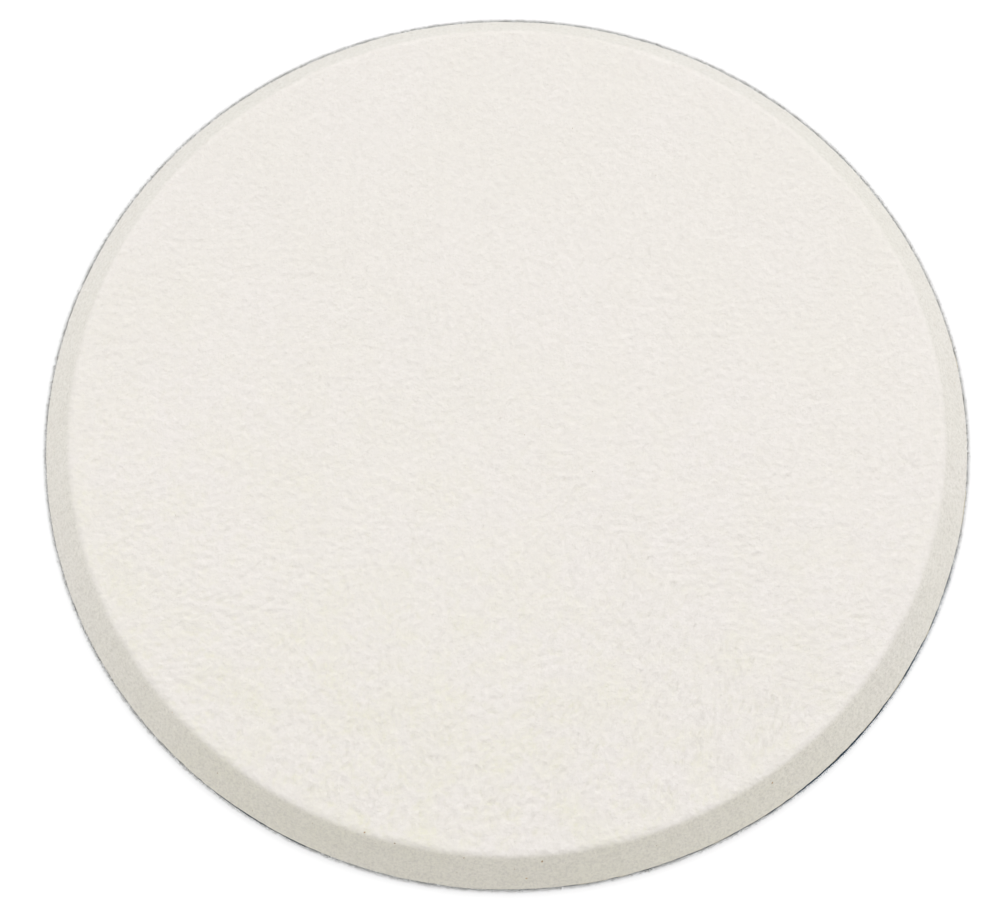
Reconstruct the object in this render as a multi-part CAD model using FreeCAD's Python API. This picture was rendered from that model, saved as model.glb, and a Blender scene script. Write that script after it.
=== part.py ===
import FreeCAD, Part
import math
import os

# Felt polishing wheel: a bevelled disc of pressed wool felt, bonded to a
# loop-cloth backing that grips the hook-faced pad of a polishing machine.
# It has no arbor hole. Millimetres, +Z up.
# Origin: centre of the loop face that the wheel lies on, so the working
# face looks along +Z.

# ---- driving dimensions -------------------------------------------------
DIAMETER = 152.4          # nominal 6 inch wheel, across the foot of the bevel
TOTAL_THICKNESS = 6.35    # nominal 1/4 inch, loop tips to working face

PILE_HEIGHT = 0.40        # raised nylon loops
GROUND_THICKNESS = 0.35   # warp-knit ground cloth that the loops stand on
FILM_THICKNESS = 0.15     # hot-melt film between ground cloth and felt

FACE_INSET = 4.30         # how far the bevel comes in from the foot to the face
LAND_HEIGHT = 0.40        # upright cut edge left under the bevel
FACE_EDGE_RADIUS = 1.90   # soft corner between the bevel and the working face
FOOT_EDGE_RADIUS = 0.12   # slight softening at the bottom corner of the felt

BACKING_UNDERSIZE = 0.35  # the cloth is die-cut this much smaller on radius
BACKING_SHIFT = 0.35      # the cloth is laid on this far off centre
BACKING_SHIFT_DEG = -30.0 # direction of that shift, from +X towards +Y
PILE_MARGIN = 0.25        # loops stop this far short of the cloth's cut edge

# ---- derived ------------------------------------------------------------
R_FOOT = DIAMETER / 2.0
R_FACE = R_FOOT - FACE_INSET
Z_GROUND = PILE_HEIGHT
Z_FILM = Z_GROUND + GROUND_THICKNESS
Z_FELT = Z_FILM + FILM_THICKNESS
Z_FACE = TOTAL_THICKNESS
R_CLOTH = R_FOOT - BACKING_UNDERSIZE
R_PILE = R_CLOTH - PILE_MARGIN
SHIFT = FreeCAD.Vector(
    BACKING_SHIFT * math.cos(math.radians(BACKING_SHIFT_DEG)),
    BACKING_SHIFT * math.sin(math.radians(BACKING_SHIFT_DEG)),
    0.0,
)


def V(x, z):
    return FreeCAD.Vector(x, 0.0, z)


def arc_corner(p_in, corner, p_out, radius):
    """Tangent points and middle point of a round of that radius at corner."""
    a = (p_in - corner).normalize()
    b = (p_out - corner).normalize()
    half = math.acos(max(-1.0, min(1.0, a.dot(b)))) / 2.0
    run = radius / math.tan(half)
    start = corner + a * run
    end = corner + b * run
    bis = (a + b).normalize()
    centre = corner + bis * (radius / math.sin(half))
    middle = centre - bis * radius
    return start, middle, end


def felt_pad():
    """Pressed wool felt: flat underside, short upright land, one straight
    bevel up to the face, and a soft corner where the bevel meets the face."""
    axis_low = V(0, Z_FELT)
    foot = V(R_FOOT, Z_FELT)
    land = V(R_FOOT, Z_FELT + LAND_HEIGHT)
    face = V(R_FACE, Z_FACE)
    axis_high = V(0, Z_FACE)
    f1, fm, f2 = arc_corner(axis_low, foot, land, FOOT_EDGE_RADIUS)
    c1, cm, c2 = arc_corner(land, face, axis_high, FACE_EDGE_RADIUS)
    edges = [
        Part.LineSegment(axis_low, f1).toShape(),
        Part.Arc(f1, fm, f2).toShape(),
        Part.LineSegment(f2, land).toShape(),
        Part.LineSegment(land, c1).toShape(),
        Part.Arc(c1, cm, c2).toShape(),
        Part.LineSegment(c2, axis_high).toShape(),
        Part.LineSegment(axis_high, axis_low).toShape(),
    ]
    face_profile = Part.Face(Part.Wire(edges))
    return face_profile.revolve(
        FreeCAD.Vector(0, 0, 0), FreeCAD.Vector(0, 0, 1), 360.0
    )


def disc(radius, z_low, z_high):
    """Plain die-cut layer, laid on off centre by SHIFT."""
    return Part.makeCylinder(
        radius, z_high - z_low, FreeCAD.Vector(SHIFT.x, SHIFT.y, z_low)
    )


def as_solid(shape):
    solid = shape.Solids[0] if shape.Solids else Part.makeSolid(shape.Shells[0])
    if solid.Volume < 0:
        solid.reverse()
    return solid


parts = {
    # pressed wool felt disc, the working part
    "felt_pad": as_solid(felt_pad()),
    # hot-melt film that bonds the cloth to the felt
    "bond_film": as_solid(disc(R_CLOTH, Z_FILM, Z_FELT)),
    # knitted nylon ground cloth of the loop fastener
    "loop_ground_cloth": as_solid(disc(R_CLOTH, Z_GROUND, Z_FILM)),
    # raised loop yarn that the hooks of the backing pad catch in
    "loop_pile": as_solid(disc(R_PILE, 0.0, Z_GROUND)),
}

os.makedirs("parts", exist_ok=True)
for name, shape in parts.items():
    if not shape.isValid() or not shape.isClosed():
        raise RuntimeError(name + " is not a valid closed solid")
    shape.exportStep("parts/" + name + ".step")
    box = shape.BoundBox
    print(
        "%-18s volume %9.1f mm3   x %7.2f..%7.2f  y %7.2f..%7.2f  z %5.2f..%5.2f"
        % (name, shape.Volume, box.XMin, box.XMax, box.YMin, box.YMax, box.ZMin, box.ZMax)
    )
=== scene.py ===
"""Felt polishing wheel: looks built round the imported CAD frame. Metres, +Z up.

The wheel is a laminate: pressed wool felt, a hot-melt film, a warp-knit
ground cloth and its raised nylon loops. Every layer gets its own meshes.
"""

import math

import bpy
import numpy as np

from mathutils import Matrix, Vector


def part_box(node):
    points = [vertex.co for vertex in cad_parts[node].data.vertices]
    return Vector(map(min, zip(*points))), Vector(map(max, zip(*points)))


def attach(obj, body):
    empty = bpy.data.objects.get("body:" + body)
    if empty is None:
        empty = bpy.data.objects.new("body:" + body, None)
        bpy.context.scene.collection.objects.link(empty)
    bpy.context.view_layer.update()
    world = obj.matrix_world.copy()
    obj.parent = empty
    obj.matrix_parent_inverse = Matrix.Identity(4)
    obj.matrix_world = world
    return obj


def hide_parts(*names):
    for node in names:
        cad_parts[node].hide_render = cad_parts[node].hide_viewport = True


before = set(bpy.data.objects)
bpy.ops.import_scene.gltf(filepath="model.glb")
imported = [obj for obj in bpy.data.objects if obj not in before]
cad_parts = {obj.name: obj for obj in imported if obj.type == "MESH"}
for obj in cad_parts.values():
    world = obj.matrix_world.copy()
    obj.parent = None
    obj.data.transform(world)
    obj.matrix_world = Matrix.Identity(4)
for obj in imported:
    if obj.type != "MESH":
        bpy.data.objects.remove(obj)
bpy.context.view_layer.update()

MM = 0.001
R_FOOT = (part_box("felt_pad")[1].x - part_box("felt_pad")[0].x) / 2 / MM
Z_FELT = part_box("felt_pad")[0].z / MM
Z_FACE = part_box("felt_pad")[1].z / MM
CLOTH_LO, CLOTH_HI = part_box("loop_ground_cloth")
PILE_LO, PILE_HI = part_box("loop_pile")
CX = (CLOTH_LO.x + CLOTH_HI.x) / 2 / MM
CY = (CLOTH_LO.y + CLOTH_HI.y) / 2 / MM
R_CLOTH = (CLOTH_HI.x - CLOTH_LO.x) / 2 / MM
R_PILE = (PILE_HI.x - PILE_LO.x) / 2 / MM
Z_GROUND, Z_FILM = CLOTH_LO.z / MM, CLOTH_HI.z / MM

# ------------------------------------------------------------------ helpers
SCENE = bpy.context.scene


def make_mesh(name, verts_mm, quads=None, tris=None, ngons=(), smooth=True, attrs=None):
    """A mesh object from numpy arrays in millimetres. quads and tris are
    index arrays, ngons a list of index lists."""
    verts = np.asarray(verts_mm, np.float64) * MM
    counts, index = [], []
    for arr, k in ((quads, 4), (tris, 3)):
        if arr is not None and len(arr):
            counts.append(np.full(len(arr), k, np.int32))
            index.append(np.asarray(arr, np.int32).ravel())
    for g in ngons:
        counts.append(np.array([len(g)], np.int32))
        index.append(np.asarray(g, np.int32))
    counts, index = np.concatenate(counts), np.concatenate(index)
    me = bpy.data.meshes.new(name)
    me.vertices.add(len(verts))
    me.vertices.foreach_set("co", verts.astype(np.float32).ravel())
    me.loops.add(len(index))
    me.loops.foreach_set("vertex_index", index)
    me.polygons.add(len(counts))
    me.polygons.foreach_set(
        "loop_start", np.concatenate([[0], np.cumsum(counts)[:-1]]).astype(np.int32)
    )
    me.update(calc_edges=True)
    me.polygons.foreach_set("use_smooth", np.full(len(counts), smooth, bool))
    for key, values in (attrs or {}).items():
        a = me.attributes.new(key, "FLOAT", "POINT")
        a.data.foreach_set("value", np.asarray(values, np.float32))
    me.validate()
    me.update()
    ob = bpy.data.objects.new(name, me)
    SCENE.collection.objects.link(ob)
    return ob


class Field:
    """Smooth random field on a periodic grid, made by shaping the spectrum of
    seeded noise. bands = [(shortest, longest wavelength in mm, weight)]."""

    def __init__(self, seed, size_x, size_y, step, bands, stretch=1.0):
        self.nx, self.ny = int(round(size_x / step)), int(round(size_y / step))
        self.sx, self.sy = size_x / self.nx, size_y / self.ny
        rng = np.random.default_rng(seed)
        white = np.fft.rfft2(rng.standard_normal((self.ny, self.nx)))
        ky = np.fft.fftfreq(self.ny, self.sy)[:, None]
        kx = np.fft.rfftfreq(self.nx, self.sx)[None, :]
        k = np.hypot(kx * stretch, ky)
        total = np.zeros_like(k)
        for lo, hi, weight in bands:
            k_hi, k_lo = 1.0 / lo, 1.0 / hi
            mid, half = math.log((k_hi * k_lo) ** 0.5), math.log((k_hi / k_lo) ** 0.5)
            with np.errstate(divide="ignore"):
                t = (np.log(np.where(k > 0, k, 1e-9)) - mid) / max(half, 1e-6)
            part = np.exp(-0.5 * (t * 1.2) ** 2)
            part[0, 0] = 0
            f = np.fft.irfft2(white * part, s=(self.ny, self.nx))
            total = total + part * (weight / f.std())
        self.grid = np.fft.irfft2(white * total, s=(self.ny, self.nx))

    def at(self, x, y):
        """Cubic (Catmull-Rom) sample at millimetre positions."""
        u, v = np.asarray(x) / self.sx, np.asarray(y) / self.sy
        iu, iv = np.floor(u).astype(int), np.floor(v).astype(int)
        fu, fv = u - iu, v - iv

        def weights(t):
            return (
                0.5 * (-t + 2 * t**2 - t**3),
                0.5 * (2 - 5 * t**2 + 3 * t**3),
                0.5 * (t + 4 * t**2 - 3 * t**3),
                0.5 * (-(t**2) + t**3),
            )

        wu, wv = weights(fu), weights(fv)
        out = 0.0
        for a in range(4):
            row = 0.0
            yy = (iv + a - 1) % self.ny
            for b in range(4):
                row = row + wu[b] * self.grid[yy, (iu + b - 1) % self.nx]
            out = out + wv[a] * row
        return out


def smoothstep(x, lo, hi):
    t = np.clip((x - lo) / (hi - lo), 0, 1)
    return t * t * (3 - 2 * t)


def disc_grid(n, radius):
    """n by n quads mapped to a disc with equal areas. Returns xy, quads and
    the boundary ring's indices, counterclockwise from angle -45 degrees."""
    a, b = np.meshgrid(np.linspace(-1, 1, n + 1), np.linspace(-1, 1, n + 1))
    wide = np.abs(a) > np.abs(b)
    with np.errstate(divide="ignore", invalid="ignore"):
        phi = np.where(wide, np.pi / 4 * (b / a), np.pi / 2 - np.pi / 4 * (a / b))
        r = np.where(wide, a, b)
    phi = np.where(np.isfinite(phi), phi, 0)
    xy = np.stack([r * np.cos(phi), r * np.sin(phi)], -1).reshape(-1, 2) * radius
    idx = np.arange((n + 1) ** 2).reshape(n + 1, n + 1)
    quads = np.stack(
        [idx[:-1, :-1], idx[:-1, 1:], idx[1:, 1:], idx[1:, :-1]], -1
    ).reshape(-1, 4)
    ring = np.concatenate(
        [idx[:-1, n], idx[n, n:0:-1], idx[n:0:-1, 0], idx[0, :-1]]
    )
    return xy, quads, ring


def tubes(points, radius, sides=3, phase=None):
    """Closed thin tubes along many polylines at once. points is (N, S, 3) and
    radius (N, S), in mm. Ends are closed with one face each."""
    p = np.asarray(points, float)
    n, s = p.shape[:2]
    tan = np.gradient(p, axis=1)
    tan /= np.maximum(np.linalg.norm(tan, axis=2, keepdims=True), 1e-9)
    mean = p[:, -1] - p[:, 0]
    ref = np.cross(mean, p[:, s // 2] - p[:, 0])
    flat = np.linalg.norm(ref, axis=1) < 1e-6
    ref[flat] = np.cross(mean[flat], [0.0, 0.0, 1.0])
    ref /= np.maximum(np.linalg.norm(ref, axis=1, keepdims=True), 1e-9)
    b = ref[:, None, :] - (tan * ref[:, None, :]).sum(2, keepdims=True) * tan
    b /= np.maximum(np.linalg.norm(b, axis=2, keepdims=True), 1e-9)
    c = np.cross(tan, b)
    ang = np.arange(sides) * 2 * np.pi / sides
    if phase is None:
        phase = np.zeros(n)
    ang = ang[None, None, :, None] + phase[:, None, None, None]
    rings = (
        p[:, :, None, :]
        + radius[:, :, None, None]
        * (np.cos(ang) * b[:, :, None, :] + np.sin(ang) * c[:, :, None, :])
    )
    verts = rings.reshape(-1, 3)
    base = (np.arange(n) * s * sides)[:, None, None]
    ring = (np.arange(s - 1) * sides)[None, :, None]
    k = np.arange(sides)[None, None, :]
    k2 = (k + 1) % sides
    quads = np.stack(
        np.broadcast_arrays(
            base + ring + k,
            base + ring + k2,
            base + ring + sides + k2,
            base + ring + sides + k,
        ),
        -1,
    ).reshape(-1, 4)
    first = (np.arange(n) * s * sides)[:, None] + np.arange(sides)[::-1][None, :]
    last = (np.arange(n) * s * sides + (s - 1) * sides)[:, None] + np.arange(sides)[
        None, :
    ]
    return verts, quads, np.concatenate([first, last])


# ---------------------------------------------------------------- materials
class Nodes:
    """Small helper for writing a node tree."""

    def __init__(self, name):
        self.mat = bpy.data.materials.new(name)
        self.mat.use_nodes = True
        self.nt = self.mat.node_tree
        self.nt.nodes.clear()
        self.out = self.nt.nodes.new("ShaderNodeOutputMaterial")
        self.bsdf = self.nt.nodes.new("ShaderNodeBsdfPrincipled")
        self.nt.links.new(self.bsdf.outputs[0], self.out.inputs["Surface"])
        coords = self.nt.nodes.new("ShaderNodeTexCoord")
        self.coord = coords.outputs["Object"]

    def node(self, kind, values=None, **props):
        n = self.nt.nodes.new(kind)
        for k, v in props.items():
            setattr(n, k, v)
        for k, v in (values or {}).items():
            if hasattr(v, "is_linked") or isinstance(v, bpy.types.NodeSocket):
                self.nt.links.new(v, n.inputs[k])
            else:
                n.inputs[k].default_value = v
        return n

    def noise(self, per_mm, detail=2.0, rough=0.5, vector=None, distortion=0.0):
        n = self.node(
            "ShaderNodeTexNoise",
            {
                "Vector": vector or self.coord,
                "Scale": per_mm / MM,
                "Detail": detail,
                "Roughness": rough,
                "Distortion": distortion,
            },
        )
        return n.outputs["Fac"]

    def voronoi(self, per_mm, vector=None, feature="F1", randomness=1.0):
        n = self.node(
            "ShaderNodeTexVoronoi",
            {"Vector": vector or self.coord, "Scale": per_mm / MM, "Randomness": randomness},
            feature=feature,
        )
        return n.outputs["Distance"]

    def remap(self, value, lo, hi, to_lo=0.0, to_hi=1.0):
        n = self.node(
            "ShaderNodeMapRange",
            {"Value": value, 1: lo, 2: hi, 3: to_lo, 4: to_hi},
            clamp=True,
        )
        return n.outputs["Result"]

    def math(self, op, a, b=None):
        n = self.node("ShaderNodeMath", {0: a}, operation=op)
        if b is not None:
            if isinstance(b, bpy.types.NodeSocket):
                self.nt.links.new(b, n.inputs[1])
            else:
                n.inputs[1].default_value = b
        return n.outputs[0]

    def mix(self, fac, a, b, kind="MIX"):
        n = self.nt.nodes.new("ShaderNodeMix")
        n.data_type = "RGBA"
        n.blend_type = kind
        n.clamp_result = False
        for socket, v in ((n.inputs[0], fac), (n.inputs[6], a), (n.inputs[7], b)):
            if isinstance(v, bpy.types.NodeSocket):
                self.nt.links.new(v, socket)
            elif isinstance(v, (int, float)):
                socket.default_value = v
            else:
                socket.default_value = (*v, 1.0)
        return n.outputs[2]

    def axis(self, name):
        n = self.node("ShaderNodeSeparateXYZ", {0: self.coord})
        return n.outputs[name]

    def attribute(self, name):
        return self.node("ShaderNodeAttribute", attribute_name=name).outputs["Fac"]

    def bump(self, height, distance_mm, strength=1.0, normal=None):
        n = self.node(
            "ShaderNodeBump",
            {"Height": height, "Distance": distance_mm * MM, "Strength": strength},
        )
        if normal is not None:
            self.nt.links.new(normal, n.inputs["Normal"])
        return n.outputs["Normal"]

    def along(self, turn, length, warp=None):
        """Coordinates that draw a texture out `length` times in the direction
        `turn` (radians from +X), bent by an optional offset vector."""
        base = self.coord
        if warp is not None:
            base = self.node(
                "ShaderNodeVectorMath", {0: self.coord, 1: warp}, operation="ADD"
            ).outputs[0]
        n = self.node(
            "ShaderNodeMapping",
            {"Vector": base, "Scale": (length, 1, 1), "Rotation": (0, 0, turn)},
            vector_type="TEXTURE",
        )
        return n.outputs["Vector"]

    def warp(self, per_mm, reach_mm):
        """Smooth random offsets of up to about reach_mm."""
        n = self.node(
            "ShaderNodeTexNoise",
            {"Vector": self.coord, "Scale": per_mm / MM, "Detail": 1.0},
        )
        c = self.node(
            "ShaderNodeVectorMath", {0: n.outputs["Color"], 1: (0.5, 0.5, 0.5)}, operation="SUBTRACT"
        ).outputs[0]
        return self.node(
            "ShaderNodeVectorMath", {0: c, "Scale": reach_mm * MM * 2}, operation="SCALE"
        ).outputs[0]

    def strands(self, per_mm, length, turns, curl):
        """Matted fibres: ridges of drawn-out noise in several directions."""
        total = None
        for i, turn in enumerate(turns):
            n = self.noise(per_mm * (1 + 0.13 * i), 2.0, 0.55, self.along(turn, length, curl))
            ridge = self.math("ABSOLUTE", self.math("SUBTRACT", n, 0.5))
            ridge = self.remap(ridge, 0.0, 0.11, 1.0, 0.0)
            total = ridge if total is None else self.math("MAXIMUM", total, ridge)
        return total

    def set(self, **values):
        for k, v in values.items():
            socket = self.bsdf.inputs[k.replace("_", " ")]
            if isinstance(v, bpy.types.NodeSocket):
                self.nt.links.new(v, socket)
            else:
                socket.default_value = v
        return self.mat


FELT = (0.8015, 0.7675, 0.7275)


def shade(c, k, tint=(1, 1, 1)):
    return tuple(x * k * t for x, t in zip(c, tint))


def felt_material():
    m = Nodes("pressed_wool_felt")
    nap, cut, worn = m.attribute("nap"), m.attribute("cut"), m.attribute("worn")
    # the wool's shade drifts by a percent or so over centimetres
    drift = m.remap(m.noise(0.045, 2.0, 0.5), 0.35, 0.65)
    col = m.mix(drift, shade(FELT, 0.994, (1.0, 1.003, 0.990)), shade(FELT, 1.004, (1.0, 0.998, 1.006)))
    # painted shade: the face is a shade darker toward +Y and a touch lighter toward -Y
    y_shade_ramp = m.remap(m.axis("Y"), -0.012, 0.072)
    col = m.mix(1.0, col, m.mix(y_shade_ramp, (1.0105, 1.008, 1.014), (0.991, 0.993, 0.990)), "MULTIPLY")
    # hollows between tufts: painted shade, a touch darker; and here and there yellower
    hollow_shade = m.remap(nap, -2.4, 0.0, 1.0, 0.0)
    col = m.mix(m.math("MULTIPLY", hollow_shade, 0.50), col, shade(FELT, 0.92, (1.0, 1.0, 0.985)))
    spots = m.remap(m.noise(0.42, 2.0, 0.5, m.along(0.0, 1.15), 0.3), 0.47, 0.60)
    spots = m.math("MULTIPLY", spots, m.remap(nap, -1.4, 0.9, 1.0, 0.25))
    patch = m.remap(m.noise(0.12, 2.0, 0.5), 0.46, 0.62)
    spots = m.math("ADD", m.math("MULTIPLY", spots, 0.50), m.math("MULTIPLY", patch, 0.34))
    spots = m.math("MULTIPLY", spots, m.math("POWER", worn, 1.5))
    spots = m.math("MULTIPLY", spots, m.remap(m.axis("X"), -0.070, 0.070, 1.25, 0.75))
    col = m.mix(spots, col, shade(FELT, 0.967, (0.997, 1.018, 0.858)))
    # fibres, matted every way: the strands are the wool's own grain, and the darker gaps between them are
    # painted shade
    curl = m.warp(0.55, 0.9)
    strands = m.strands(2.3, 7.0, (0.10, 1.15, 2.2), curl)
    col = m.mix(strands, shade(FELT, 0.955, (1.0, 1.0, 0.985)), col)
    matted = m.noise(1.35, 3.0, 0.62)
    col = m.mix(m.remap(matted, 0.33, 0.58, 0.50, 0.0), col, shade(FELT, 0.93))
    fine = m.noise(2.6, 3.0, 0.6)
    # the cut bevel: greyer and darker, partly its own colour and partly painted shade, with its own
    # painted-shade tints for the near side and the front-most stretch; and speckled by fibre ends seen end on
    near = m.remap(m.axis("Y"), -0.030, 0.060, 1.0, 0.0)
    bevel = m.mix(1.0, col, m.mix(near, (0.922, 0.935, 0.929), (0.923, 0.929, 0.902)), "MULTIPLY")
    # front-most stretch of the bevel: painted shade, a yellower tint
    front_shade = m.remap(m.axis("Y"), -0.060, -0.034, 1.0, 0.0)
    bevel = m.mix(front_shade, bevel, m.mix(1.0, bevel, (0.999, 0.997, 0.958), "MULTIPLY"))
    speck = m.remap(m.noise(2.3, 3.0, 0.65), 0.33, 0.56, 1.0, 0.0)
    bevel = m.mix(m.math("MULTIPLY", speck, 0.72), bevel, shade(FELT, 0.735, (1.0, 0.998, 0.955)))
    col = m.mix(cut, col, bevel)
    # small relief: ripples of the nap, then the strands themselves
    ripple = m.noise(0.95, 2.0, 0.5, m.along(0.0, 0.95))
    normal = m.bump(ripple, 0.30, 0.7)
    grain = m.math("ADD", m.math("MULTIPLY", matted, 0.6), m.math("MULTIPLY", fine, 0.5))
    grain = m.math("ADD", grain, m.math("MULTIPLY", strands, 0.22))
    normal = m.bump(grain, 0.16, 0.7, normal)
    rough = m.remap(m.noise(0.9, 2.0, 0.5), 0.3, 0.7, 0.88, 0.98)
    return m.set(
        Base_Color=col,
        Roughness=rough,
        Normal=normal,
        Specular_IOR_Level=0.15,
        Sheen_Weight=0.12,
        Sheen_Roughness=0.6,
        Sheen_Tint=(1.0, 0.985, 0.96, 1.0),
    )


def fibre_material():
    m = Nodes("loose_wool_fibre")
    drift = m.remap(m.noise(0.4, 2.0, 0.5), 0.35, 0.65)
    col = m.mix(drift, shade(FELT, 1.04, (1.0, 1.0, 0.98)), shade(FELT, 1.07, (1.0, 1.0, 1.01)))
    return m.set(
        Base_Color=col,
        Roughness=0.85,
        Specular_IOR_Level=0.2,
        Sheen_Weight=0.1,
        Sheen_Roughness=0.5,
    )


def fleck_material():
    m = Nodes("burr_fleck")
    t = m.remap(m.noise(0.08, 1.0, 0.5), 0.4, 0.6)
    col = m.mix(t, (0.42, 0.24, 0.075), (0.20, 0.13, 0.07))
    col = m.mix(m.remap(m.noise(9.0, 2.0, 0.5), 0.4, 0.6, 0.0, 0.35), col, (0.45, 0.30, 0.12))
    return m.set(Base_Color=col, Roughness=0.8, Specular_IOR_Level=0.3)


def film_material():
    m = Nodes("hot_melt_film")
    cloud = m.remap(m.noise(0.8, 3.0, 0.6), 0.35, 0.65)
    col = m.mix(cloud, (0.50, 0.44, 0.33), (0.62, 0.57, 0.46))
    return m.set(
        Base_Color=col,
        Roughness=m.remap(m.noise(2.0, 2.0, 0.5), 0.3, 0.7, 0.32, 0.5),
        Normal=m.bump(m.noise(1.6, 2.0, 0.5), 0.08, 0.5),
        Specular_IOR_Level=0.5,
    )


NAVY = (0.021, 0.057, 0.092)


def knit_material():
    m = Nodes("knit_ground_cloth")
    # warp-knit ground: wales along Y every 0.85 mm, courses every 0.7 mm
    def wave(direction, pitch_mm, distortion):
        n = m.node(
            "ShaderNodeTexWave",
            {
                "Vector": m.coord,
                "Scale": 1.0 / (pitch_mm * MM) * 0.05 * math.pi * 2,
                "Distortion": distortion,
                "Detail": 2.0,
                "Detail Scale": 2.0,
            },
            wave_type="BANDS",
            bands_direction=direction,
        )
        return n.outputs["Fac"]

    wales = wave("X", 0.85, 0.8)
    courses = wave("Y", 0.70, 1.2)
    stitch = m.math("MULTIPLY", wales, m.math("ADD", m.math("MULTIPLY", courses, 0.6), 0.4))
    drift = m.remap(m.noise(0.15, 3.0, 0.55), 0.35, 0.65)
    col = m.mix(drift, shade(NAVY, 0.85), shade(NAVY, 1.25, (1.0, 1.0, 1.1)))
    col = m.mix(m.math("MULTIPLY", stitch, 0.6), shade(NAVY, 0.45), col)
    col = m.mix(m.remap(m.noise(6.0, 3.0, 0.6), 0.45, 0.7, 0.0, 0.4), col, shade(NAVY, 1.9))
    return m.set(
        Base_Color=col,
        Roughness=m.remap(m.noise(3.0, 2.0, 0.5), 0.3, 0.7, 0.6, 0.85),
        Normal=m.bump(m.math("ADD", stitch, m.math("MULTIPLY", m.noise(7.0, 3.0, 0.6), 0.5)), 0.12, 0.8),
        Sheen_Weight=0.15,
        Sheen_Roughness=0.4,
        Sheen_Tint=(0.55, 0.65, 1.0, 1.0),
    )


def loop_material():
    m = Nodes("nylon_loop_yarn")
    drift = m.remap(m.noise(0.12, 3.0, 0.6), 0.35, 0.65)
    col = m.mix(drift, shade(NAVY, 0.80), shade(NAVY, 1.15, (0.97, 1.0, 1.05)))
    col = m.mix(m.remap(m.noise(1.1, 2.0, 0.5), 0.4, 0.7, 0.0, 0.5), col, shade(NAVY, 1.6, (0.93, 1.0, 1.06)))
    return m.set(
        Base_Color=col,
        Roughness=0.42,
        Specular_IOR_Level=0.5,
        Sheen_Weight=0.25,
        Sheen_Roughness=0.35,
        Sheen_Tint=(0.6, 0.7, 1.0, 1.0),
    )


def edge_shade_lint_material():
    """Very dark grey-brown all round, painted shade that draws a dark line round the felt's foot; blue where
    the cloth itself comes out.
    """
    m = Nodes("edge_lint_painted_shade")
    drift = m.remap(m.noise(0.25, 2.0, 0.5), 0.35, 0.65)
    # painted shade: the grey-brown is dark enough to draw a dark line round the felt's foot
    col = m.mix(drift, (0.090, 0.078, 0.052), (0.066, 0.060, 0.045))
    x, y = m.axis("X"), m.axis("Y")
    way = m.math("SUBTRACT", m.math("MULTIPLY", x, 0.809 / 0.0762), m.math("MULTIPLY", y, 0.588 / 0.0762))
    blue = m.remap(way, 0.915, 0.985)
    col = m.mix(blue, col, shade(NAVY, 1.25, (0.75, 1.08, 1.15)))
    return m.set(Base_Color=col, Roughness=0.7, Specular_IOR_Level=0.3)


MAT_FELT, MAT_FIBRE, MAT_FLECK = felt_material(), fibre_material(), fleck_material()
MAT_FILM, MAT_KNIT, MAT_LOOP = film_material(), knit_material(), loop_material()
MAT_EDGE_SHADE_LINT = edge_shade_lint_material()

# ------------------------------------------------------------- felt surface
R_FACE = R_FOOT - 4.30       # where the bevel would meet the face if sharp
LAND = 0.40                  # upright cut edge under the bevel
CORNER = 1.90                # softness of the corner between bevel and face
GRID = 268                   # face quads each way

PEBBLE = Field(11, 165.12, 165.12, 0.16, [(1.5, 4.4, 0.74), (0.95, 1.7, 0.60)], 0.91)
ROLL = Field(12, 198.0, 198.0, 1.1, [(12.0, 42.0, 1.0)])
BEVEL = Field(13, 2 * math.pi * 74.5, 32.0, 0.25, [(0.9, 3.0, 0.8), (4.0, 20.0, 0.5)], 1.0)
RIM = Field(14, 2 * math.pi * 74.5, 32.0, 0.25, [(1.5, 6.0, 0.5), (10.0, 60.0, 1.0)])


def nap_of(x, y):
    """Height of the tufted nap, about unit deviation, with the hollows sharper
    than the crowns."""
    g = PEBBLE.at(x + 82.0, y + 82.0)
    return 2.4 * np.tanh((g - 0.13 * (g * g - 0.8)) / 2.4)


A_PEBBLE = 0.0625            # mm, rms height of the nap on the face
A_ROLL = 0.028
A_BEVEL = 0.013


def worn_share(x, y):
    """0 where the face is pressed flat, 1 where the nap has risen: the side
    toward -Y stands highest."""
    return np.clip(0.42 - 0.0085 * y - 0.0010 * x, 0.04, 1.0)


def face_height(x, y):
    w = worn_share(x, y)
    lift = A_PEBBLE * (0.70 + 0.20 * w + 0.78 * w * w)
    lift = lift * (1 - 0.45 * smoothstep(np.hypot(x, y), R_FACE - 4.0, R_FACE - 1.0))
    return lift * nap_of(x, y) + A_ROLL * ROLL.at(x + 90, y + 90)


SLOPE = math.atan2(Z_FACE - (Z_FELT + LAND), R_FOOT - R_FACE)  # bevel's angle
CORNER_RUN = CORNER * math.tan(SLOPE / 2)


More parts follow.
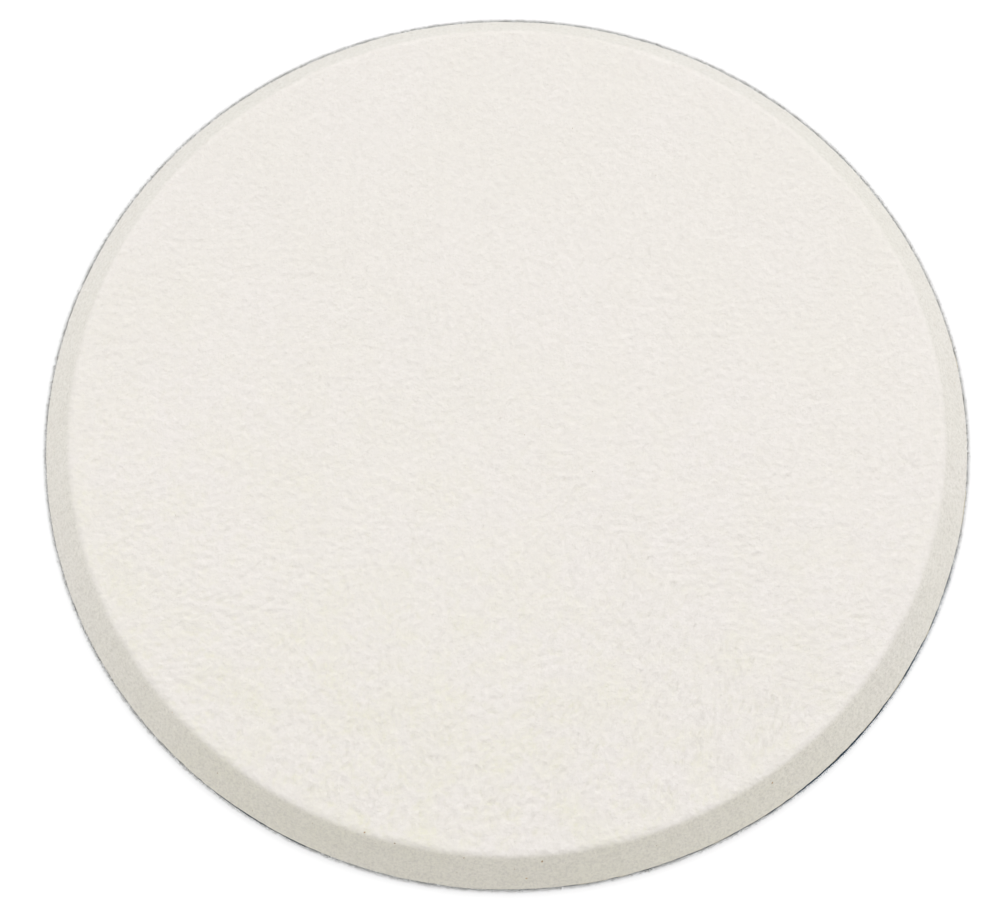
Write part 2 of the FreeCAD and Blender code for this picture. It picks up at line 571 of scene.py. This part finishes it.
def rim_profile():
    """(r, z, normal r, normal z, share of bevel) down from the face's edge."""
    pts = []
    c = (R_FACE - CORNER_RUN, Z_FACE - CORNER)
    for t in np.linspace(0.12, 1.0, 6):
        a = SLOPE * t
        pts.append((c[0] + CORNER * math.sin(a), c[1] + CORNER * math.cos(a), math.sin(a), math.cos(a), t))
    r1, z1 = pts[-1][0], pts[-1][1]
    r2, z2 = R_FOOT, Z_FELT + LAND
    n = 13
    for t in np.linspace(0, 1, n)[1:-1]:
        pts.append((r1 + (r2 - r1) * t, z1 + (z2 - z1) * t, math.sin(SLOPE), math.cos(SLOPE), 1.0))
    # rounded arris between the bevel and the upright land
    pts.append((r2 - 0.10, z2 + 0.115, math.sin(SLOPE), math.cos(SLOPE), 1.0))
    pts.append((r2 - 0.015, z2 - 0.02, 0.95, 0.3, 1.0))
    pts.append((r2 - 0.01, Z_FELT + 0.18, 1.0, 0.0, 1.0))
    pts.append((r2 - 0.05, Z_FELT + 0.03, 0.8, -0.6, 1.0))
    pts.append((r2 - 0.30, Z_FELT + 0.00, 0.0, -1.0, 1.0))
    pts.append((r2 - 1.00, Z_FELT + 0.00, 0.0, -1.0, 1.0))
    return pts


def build_felt():
    r_grid = R_FACE - CORNER_RUN
    xy, quads, ring = disc_grid(GRID, r_grid)
    z = Z_FACE + face_height(xy[:, 0], xy[:, 1])
    verts = [np.column_stack([xy, z])]
    nap = [nap_of(xy[:, 0], xy[:, 1])]
    cut = [np.zeros(len(xy))]
    worn = [worn_share(xy[:, 0], xy[:, 1])]
    theta = np.arctan2(xy[ring, 1], xy[ring, 0])
    u = (theta % (2 * math.pi)) * 74.5
    count, prev, all_quads = len(xy), ring, [quads]
    along = 0.0
    last = (r_grid, Z_FACE)
    rim_wave = RIM.at(u, 0 * u)
    foot_wave = RIM.at(u, 0 * u + 12.0)
    for r, zz, nr, nz, share in rim_profile():
        along += math.hypot(r - last[0], zz - last[1])
        last = (r, zz)
        x, y = r * np.cos(theta), r * np.sin(theta)
        fade = 1 - smoothstep(share, 0.15, 1.0)
        face = face_height(x, y) * fade
        bev = A_BEVEL * BEVEL.at(u, 0 * u + along) * smoothstep(share, 0.1, 1.0)
        if nz < 0.0:
            bev = bev * 0.3
        # the hand-trimmed bevel wanders a little, most at the face corner
        wander = 0.055 * rim_wave * share * (1 - smoothstep(along, 1.5, 7.0))
        wander = wander + 0.016 * foot_wave * smoothstep(along, 4.5, 7.2)
        d = face + bev + wander
        px, py = (r + nr * d) * np.cos(theta), (r + nr * d) * np.sin(theta)
        pz = zz + nz * d
        if zz <= Z_FELT + 0.001:
            pz = np.full_like(px, Z_FELT)
        verts.append(np.column_stack([px, py, pz]))
        nap.append(nap_of(x, y) * fade + BEVEL.at(u, 0 * u + along) * 0.5 * (1 - fade))
        cut.append(np.full(len(px), smoothstep(np.array(share), 0.3, 1.0)))
        worn.append(worn_share(x, y) * (1 - 0.6 * share))
        cur = np.arange(count, count + len(ring))
        nxt_p, nxt_c = np.roll(prev, -1), np.roll(cur, -1)
        all_quads.append(np.stack([prev, cur, nxt_c, nxt_p], -1))
        prev, count = cur, count + len(ring)
    verts, nap = np.concatenate(verts), np.concatenate(nap)
    cut, worn = np.concatenate(cut), np.concatenate(worn)
    ob = make_mesh(
        "wool_felt_disc",
        verts,
        quads=np.concatenate(all_quads),
        ngons=[prev[::-1]],
        attrs={"nap": nap, "cut": cut, "worn": worn},
    )
    ob.data.materials.append(MAT_FELT)
    return ob


felt = build_felt()
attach(felt, "root")
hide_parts("felt_pad")


def profile_at(along):
    """(r, z, nr, nz) at a distance down the rim from the face's edge."""
    pts = rim_profile()
    d, last, out = 0.0, (R_FACE - CORNER_RUN, Z_FACE), []
    for p in pts:
        d += math.hypot(p[0] - last[0], p[1] - last[1])
        last = (p[0], p[1])
        out.append(d)
    cols = [np.interp(along, out, [p[i] for p in pts]) for i in range(4)]
    return cols


def lying_fibres(name, count, seed, where):
    """Curly wool fibres that lie on the felt and lift off it a little."""
    rng = np.random.default_rng(seed)
    s = 6
    length = rng.uniform(0.7, 2.3, count)
    heading = rng.uniform(0, 2 * np.pi, count)
    curl = rng.normal(0, 1.1, count)
    t = np.linspace(-0.5, 0.5, s)[None, :]
    bend = heading[:, None] + curl[:, None] * t + rng.normal(0, 0.25, (count, s))
    step = length[:, None] / (s - 1)
    du = np.cumsum(np.cos(bend) * step, axis=1)
    dv = np.cumsum(np.sin(bend) * step, axis=1)
    lift = rng.uniform(0.0, 0.02, (count, 1)) * np.cos(np.pi * t) ** 2
    loose = rng.random(count) < 0.07  # a few stand up at one end
    lift[loose] += rng.uniform(0.05, 0.22, (loose.sum(), 1)) * np.linspace(0, 1, s)[None, :] ** 2
    radius = rng.uniform(0.009, 0.015, (count, 1)) * (1 - 0.45 * np.abs(2 * t) ** 3)
    if where == "face":
        rad = (R_FACE - 0.9) * np.sqrt(rng.random(count))
        ang = rng.uniform(0, 2 * np.pi, count)
        x = (rad * np.cos(ang))[:, None] + du
        y = (rad * np.sin(ang))[:, None] + dv
        keep = np.hypot(x, y).max(axis=1) < R_FACE - 0.5
        x, y, lift, radius = x[keep], y[keep], lift[keep], radius[keep]
        z = Z_FACE + face_height(x, y) + lift + 0.002
        p = np.stack([x, y, z], -1)
    else:
        a0 = rng.uniform(0, 2 * np.pi, count)
        s0 = rng.uniform(0.4, 7.0, count)
        along = np.clip(s0[:, None] + dv * 0.8, 0.1, 7.6)
        theta = a0[:, None] + du / 74.5
        r, z, nr, nz = profile_at(along)
        d = lift + 0.004 + A_BEVEL * BEVEL.at((theta % (2 * math.pi)) * 74.5, along)
        d = d + 0.055 * RIM.at((theta % (2 * math.pi)) * 74.5, 0 * along) * (1 - smoothstep(along, 1.5, 7.0))
        r, z = r + nr * d, z + nz * d
        p = np.stack([r * np.cos(theta), r * np.sin(theta), z], -1)
    v, q, caps = tubes(p, radius, 3, rng.uniform(0, 6.28, len(p)))
    ob = make_mesh(name, v, quads=q, tris=caps, smooth=False)
    ob.data.materials.append(MAT_FIBRE)
    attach(ob, "root")
    return ob


face_fibres = lying_fibres("wool_face_fibres", 4600, 21, "face")
rim_fibres = lying_fibres("wool_rim_fibres", 2000, 22, "rim")


def build_flecks():
    """Bits of plant matter left in the wool: tiny flat chips, part sunk."""
    rng = np.random.default_rng(31)
    spots = []  # (x, y, z, nr, nz, theta, size)
    for deg, along, size in (
        (-107.8, 0.75, 0.16), (-103.8, 1.15, 0.18), (-95.0, 1.6, 0.15), (-85.3, 2.2, 0.24),
        (-87.3, 5.3, 0.18), (-54.6, 2.7, 0.20), (-71.0, 3.6, 0.11), (-128.0, 4.1, 0.12),
    ):
        spots.append((math.radians(deg), along, size))
    for _ in range(26):
        spots.append((rng.uniform(0, 2 * np.pi), rng.uniform(1.0, 6.3), rng.uniform(0.05, 0.11)))
    verts, faces = [], []

    def chip(origin, normal, size):
        normal = normal / np.linalg.norm(normal)
        side = np.cross(normal, [0.3, 0.8, 0.1])
        side /= np.linalg.norm(side)
        turn = rng.uniform(0, 6.28)
        side = side * math.cos(turn) + np.cross(normal, side) * math.sin(turn)
        other = np.cross(normal, side)
        base = len(verts)
        n = 7
        for level, scale in ((-0.35, 0.8), (0.10, 1.0), (0.28, 0.55)):
            for k in range(n):
                a = 2 * math.pi * k / n
                wob = rng.uniform(0.75, 1.2)
                verts.append(
                    origin
                    + side * math.cos(a) * size * scale * wob
                    + other * math.sin(a) * size * 0.5 * scale * wob
                    + normal * level * size * 0.5
                )
        for lvl in range(2):
            for k in range(n):
                a, b = base + lvl * n + k, base + lvl * n + (k + 1) % n
                faces.append([a, b, b + n, a + n])
        faces.append([base + k for k in range(n)][::-1])
        faces.append([base + 2 * n + k for k in range(n)])

    for theta, along, size in spots:
        r, z, nr, nz = profile_at(np.array(along))
        u = np.array((theta % (2 * math.pi)) * 74.5)
        out = A_BEVEL * float(BEVEL.at(u, np.array(along)))
        out += 0.055 * float(RIM.at(u, np.array(0.0))) * (1 - smoothstep(along, 1.5, 7.0))
        r, z = r + nr * out, z + nz * out
        normal = np.array([nr * math.cos(theta), nr * math.sin(theta), nz], float)
        chip(np.array([r * math.cos(theta), r * math.sin(theta), z], float), normal, size)
    for _ in range(22):
        rad, ang = 70 * math.sqrt(rng.random()), rng.uniform(0, 6.28)
        x, y = rad * math.cos(ang), rad * math.sin(ang)
        z = float(Z_FACE + face_height(np.array(x), np.array(y)))
        chip(np.array([x, y, z]), np.array([0, 0, 1.0]), rng.uniform(0.04, 0.09))
    ob = make_mesh("burr_flecks", np.array(verts), ngons=faces)
    ob.data.materials.append(MAT_FLECK)
    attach(ob, "root")
    return ob


flecks = build_flecks()

# ------------------------------------------------------------ bond film
EDGE = Field(15, 2 * math.pi * 76.0, 32.0, 0.25, [(1.2, 5.0, 0.5), (8.0, 50.0, 1.0)])


def cloth_edge(a):
    """Radius of the die-cut backing about its own centre. It stands proud of
    the felt on two stretches of the near side."""

    def swell(deg, half):
        d = (np.degrees(a) - deg + 180.0) % 360.0 - 180.0
        return np.exp(-0.5 * (d / half) ** 4)

    wave = 0.03 * EDGE.at((a % (2 * math.pi)) * 76.0, 0 * a + 2.0)
    return R_CLOTH + wave + 0.17 * swell(-40, 13) + 0.38 * swell(-126, 13)


def closed_layer(name, n, radius_of, z_low, z_high, relief_low=None, rings=3):
    """A thin closed disc layer centred on the cloth: gridded top and bottom,
    with a slightly bulged edge between them."""
    theta0 = None
    xy, quads, ring = disc_grid(n, 1.0)
    ang = np.arctan2(xy[:, 1], xy[:, 0])
    rad = np.hypot(xy[:, 0], xy[:, 1])
    edge = radius_of(ang)
    # the wandering edge only moves the outer few millimetres
    r = rad * (R_CLOTH - 0.4) + (edge - (R_CLOTH - 0.4)) * smoothstep(rad, 0.9, 1.0)
    x, y = r * np.cos(ang), r * np.sin(ang)
    low = z_low + (relief_low(x, y) if relief_low is not None else 0.0)
    top = np.column_stack([x + CX, y + CY, np.full(len(x), z_high)])
    bot = np.column_stack([x + CX, y + CY, low + 0 * x])
    verts, count = [top, bot], 2 * len(x)
    faces = [quads, quads[:, ::-1] + len(x)]
    theta = ang[ring]
    e = radius_of(theta)
    prev = ring
    zb = bot[ring, 2]
    for k in range(1, rings + 1):
        t = k / (rings + 1)
        bulge = 0.05 * math.sin(math.pi * t)
        zz = z_high + (zb - z_high) * t
        rr = e + bulge
        verts.append(np.column_stack([rr * np.cos(theta) + CX, rr * np.sin(theta) + CY, zz]))
        cur = np.arange(count, count + len(ring))
        faces.append(np.stack([prev, cur, np.roll(cur, -1), np.roll(prev, -1)], -1))
        prev, count = cur, count + len(ring)
    cur = ring + len(x)
    faces.append(np.stack([prev, cur, np.roll(cur, -1), np.roll(prev, -1)], -1))
    return make_mesh(name, np.concatenate(verts), quads=np.concatenate(faces))


film = closed_layer(
    "hot_melt_film",
    90,
    lambda a: R_CLOTH - 0.05 + 0.09 * EDGE.at((a % (2 * math.pi)) * 76.0, 0 * a + 20.0),
    Z_FILM,
    Z_FELT,
    rings=2,
)
film.data.materials.append(MAT_FILM)
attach(film, "root")
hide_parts("bond_film")

# ------------------------------------------------------- knit ground cloth
KNIT = Field(16, 165.12, 165.12, 0.32, [(1.6, 5.0, 0.6), (10.0, 30.0, 0.6)])


def knit_relief(x, y):
    ribs = np.cos(2 * np.pi * x / 1.7) * 0.018
    return ribs + 0.012 * KNIT.at(x + 82, y + 82)


cloth = closed_layer(
    "knit_ground_cloth",
    200,
    cloth_edge,
    Z_GROUND,
    Z_FILM,
    knit_relief,
    rings=3,
)
cloth.data.materials.append(MAT_KNIT)
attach(cloth, "root")
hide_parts("loop_ground_cloth")

# ---------------------------------------------------------- loops and yarn
PITCH_X, PITCH_Y = 0.95, 0.90


def build_loops():
    """Raised loops of bulked yarn, two to a stitch, in knitted rows. Each is a
    small arch that stands out of the ground cloth and leans with the nap,
    toward -Y."""
    rng = np.random.default_rng(41)
    gx, gy = np.meshgrid(
        np.arange(-R_PILE, R_PILE, PITCH_X), np.arange(-R_PILE, R_PILE, PITCH_Y)
    )
    gx = gx + 0.5 * PITCH_X * (np.arange(gx.shape[0])[:, None] % 2)
    x, y = np.repeat(gx.ravel(), 2), np.repeat(gy.ravel(), 2)
    side = np.tile([-1.0, 1.0], gx.size)
    n = len(x)
    x = x + side * 0.14 + rng.normal(0, 0.10, n)
    y = y - side * 0.12 + rng.normal(0, 0.10, n)
    keep = np.hypot(x, y) < R_PILE - 0.45
    x, y, side = x[keep], y[keep], side[keep]
    n = len(x)
    head = 0.30 * side + rng.normal(0.0, 0.38, n)
    width = rng.uniform(0.50, 0.90, n)
    top = Z_GROUND + 0.03
    height = top - rng.uniform(0.02, 0.12, n)   # tips end 0.02 to 0.12 above the floor
    lean_x = rng.normal(0.0, 0.12, (n, 1))
    lean_y = rng.normal(-0.26, 0.13, (n, 1))
    t = np.linspace(0, 1, 6)[None, :]
    arch = np.sin(np.pi * t) ** 0.75
    spread_ = np.cos(np.pi * t) * (1 + 0.35 * np.sin(np.pi * t))
    ux, uy = np.cos(head)[:, None], np.sin(head)[:, None]
    px = x[:, None] + ux * spread_ * width[:, None] / 2 + lean_x * arch
    py = y[:, None] + uy * spread_ * width[:, None] / 2 + lean_y * arch
    twist = rng.normal(0, 0.06, (n, 6)) * arch
    px, py = px - uy * twist, py + ux * twist
    pz = top - (height[:, None] - 0.075) * arch + 0.02
    radius = rng.uniform(0.050, 0.072, (n, 1)) * (0.80 + 0.30 * arch)
    p = np.stack([px + CX, py + CY, pz], -1)
    order = np.argsort(np.arctan2(y, x))
    made = []
    for k, part in enumerate(np.array_split(order, 7)):
        v, q, caps = tubes(p[part], radius[part], 3, rng.uniform(0, 6.28, len(part)))
        v[:, 2] = np.maximum(v[:, 2], 0.004)
        ob = make_mesh("nylon_loops_%s" % "abcdefg"[k], v, quads=q, tris=caps)
        ob.data.materials.append(MAT_LOOP)
        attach(ob, "root")
        made.append(ob)
    return made, n


loop_pieces, loop_count = build_loops()
for ob in loop_pieces:
    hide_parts("loop_pile")


def build_edge_shade_yarns():
    """Cut ends of the cloth's ground filaments splay out from under the
    felt's foot all round, coloured very dark grey-brown as painted shade, so
    that together they draw a dark line round the outline. Most are shorter
    than half a millimetre and show only as a thin haze, reaching furthest on
    the far side; some loops opened by the cut run along the edge among them."""
    rng = np.random.default_rng(42)
    n, s = 40000, 4
    a = rng.uniform(0, 2 * np.pi, n)
    t = np.linspace(0, 1, s)[None, :]
    start = R_CLOTH - 0.55 + rng.uniform(0, 0.25, n)
    far, near = np.clip(np.sin(a) + 0.15, 0, 1), np.clip(-np.sin(a), 0, 1)
    short = 0.60 * far + 0.02 * near - 0.15 * (1 - far) * (1 - near)
    long = 1.05 * far + 0.70 * (1 - far) - 0.06 * near
    reach = R_FOOT + short + (long - short) * rng.random(n)
    r = start[:, None] + (reach - start)[:, None] * t
    swing = rng.normal(0, 0.34, (n, 1)) * t + rng.normal(0, 0.42, (n, 1)) * t**2
    theta = a[:, None] + swing / 76.0
    z0 = rng.uniform(Z_GROUND + 0.04, Z_FILM - 0.05, (n, 1))
    z = z0 + rng.normal(-0.02, 0.09, (n, 1)) * t**2
    z = np.clip(z, 0.03, Z_FELT - 0.04)
    p = np.stack([r * np.cos(theta), r * np.sin(theta), z], -1)
    radius = rng.uniform(0.0045, 0.0080, (n, 1)) * (1 - 0.30 * t)
    radius = radius * (1 - 0.30 * far - 0.34 * near)[:, None]
    made = []

    def add(points, rad, tag, mat):
        v, q, caps = tubes(points, rad, 3, rng.uniform(0, 6.28, len(points)))
        v[:, 2] = np.maximum(v[:, 2], 0.004)
        ob = make_mesh("edge_shade_yarn_ends_" + tag, v, quads=q, tris=caps)
        ob.data.materials.append(mat)
        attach(ob, "root")
        made.append(ob)

    for k, part in enumerate(np.array_split(np.argsort(a), 5)):
        add(p[part], radius[part], "abcde"[k], MAT_EDGE_SHADE_LINT)
    # opened loops that lie along the edge
    n, s = 3600, 9
    a = rng.uniform(0, 2 * np.pi, n)
    span = rng.uniform(0.8, 3.2, n) * np.where(rng.random(n) < 0.5, 1, -1)
    t = np.linspace(0, 1, s)[None, :]
    theta = a[:, None] + span[:, None] * t / 76.0
    bow = rng.uniform(0.45, 0.95, n)
    bow = bow + 0.38 * np.clip(np.sin(a) + 0.15, 0, 1)
    r = (R_FOOT - 0.62) + bow[:, None] * np.sin(np.pi * t) ** 0.6
    r = r + np.cumsum(rng.normal(0, 0.022, (n, s)), axis=1)
    z = rng.uniform(Z_GROUND + 0.02, Z_FILM - 0.06, (n, 1)) + 0.04 * np.sin(6 * t + a[:, None] * 50)
    p = np.stack([r * np.cos(theta), r * np.sin(theta), np.clip(z, 0.03, Z_FELT - 0.04)], -1)
    add(p, rng.uniform(0.005, 0.0095, (n, 1)) * np.ones((1, s)), "f", MAT_EDGE_SHADE_LINT)
    return made


edge_shade_yarn_ends = build_edge_shade_yarns()

# -------------------------------------------------------------------- stage
floor_mesh = bpy.data.meshes.new("floor")
S = 4.0
floor_mesh.from_pydata(
    [(-S, -S, -0.00002), (S, -S, -0.00002), (S, S, -0.00002), (-S, S, -0.00002)], [], [(0, 1, 2, 3)]
)
floor = bpy.data.objects.new("floor", floor_mesh)
SCENE.collection.objects.link(floor)
fm = Nodes("pale_floor")
floor_mesh.materials.append(fm.set(
    Base_Color=(0.40, 0.40, 0.40, 1.0),
    Roughness=0.9,
    Specular_IOR_Level=0.1,
    Emission_Color=(1.0, 1.0, 1.0, 1.0),
    Emission_Strength=0.65,
))

# ------------------------------------------------------------------- lights
world = bpy.data.worlds.new("studio")
SCENE.world = world
world.use_nodes = True
bg = world.node_tree.nodes["Background"]
bg.inputs["Color"].default_value = (1.0, 1.0, 1.0, 1.0)
bg.inputs["Strength"].default_value = 0.632


def softbox(name, azimuth, elevation, energy):
    """A large soft rectangle 1.9 m off, facing the wheel. Azimuth runs
    counterclockwise from +X in degrees."""
    az, el = math.radians(azimuth), math.radians(elevation)
    way = Vector((math.cos(az) * math.cos(el), math.sin(az) * math.cos(el), math.sin(el)))
    data = bpy.data.lights.new(name, "AREA")
    data.shape = "RECTANGLE"
    data.size, data.size_y = 1.3, 0.72
    data.energy = energy
    ob = bpy.data.objects.new(name, data)
    ob.location = way * 1.885
    ob.rotation_mode = "QUATERNION"
    ob.rotation_quaternion = (-way).to_track_quat("-Z", "Y")
    SCENE.collection.objects.link(ob)


softbox("soft_back", 90.0, 45.0, 12.50)
softbox("soft_left", 180.0, 30.0, 9.40)
softbox("soft_right", 0.0, 30.0, 11.45)

# ------------------------------------------------------------------- camera
ELEV, DIST, ROLL_DEG = math.radians(70.2), 0.5334, 0.36
F_PX, W_PX, H_PX = 3217.5, 1000, 914
CENTRE_PX = (506.8, 435.35)  # where the centre of the felt's foot lies in the frame
target = Vector((0.0, 0.0, Z_FELT * MM))
back = Vector((0.0, -math.cos(ELEV), math.sin(ELEV)))
cam_data = bpy.data.cameras.new("camera")
cam_data.sensor_fit = "HORIZONTAL"
cam_data.sensor_width = 36.0
cam_data.lens = F_PX * 36.0 / W_PX
cam_data.clip_start, cam_data.clip_end = 0.01, 20.0
cam_data.shift_x = -(CENTRE_PX[0] - W_PX / 2) / W_PX
cam_data.shift_y = (CENTRE_PX[1] - H_PX / 2) / W_PX
cam = bpy.data.objects.new("camera", cam_data)
cam.rotation_mode = "QUATERNION"
cam.location = target + back * DIST
look = (-back).to_track_quat("-Z", "Y")
roll = Matrix.Rotation(math.radians(ROLL_DEG), 4, "Z").to_quaternion()
cam.rotation_quaternion = look @ roll
SCENE.collection.objects.link(cam)
SCENE.camera = cam

SCENE.view_settings.view_transform = "Standard"
SCENE.view_settings.look = "None"
SCENE.view_settings.exposure = 0.0
SCENE.view_settings.gamma = 1.0
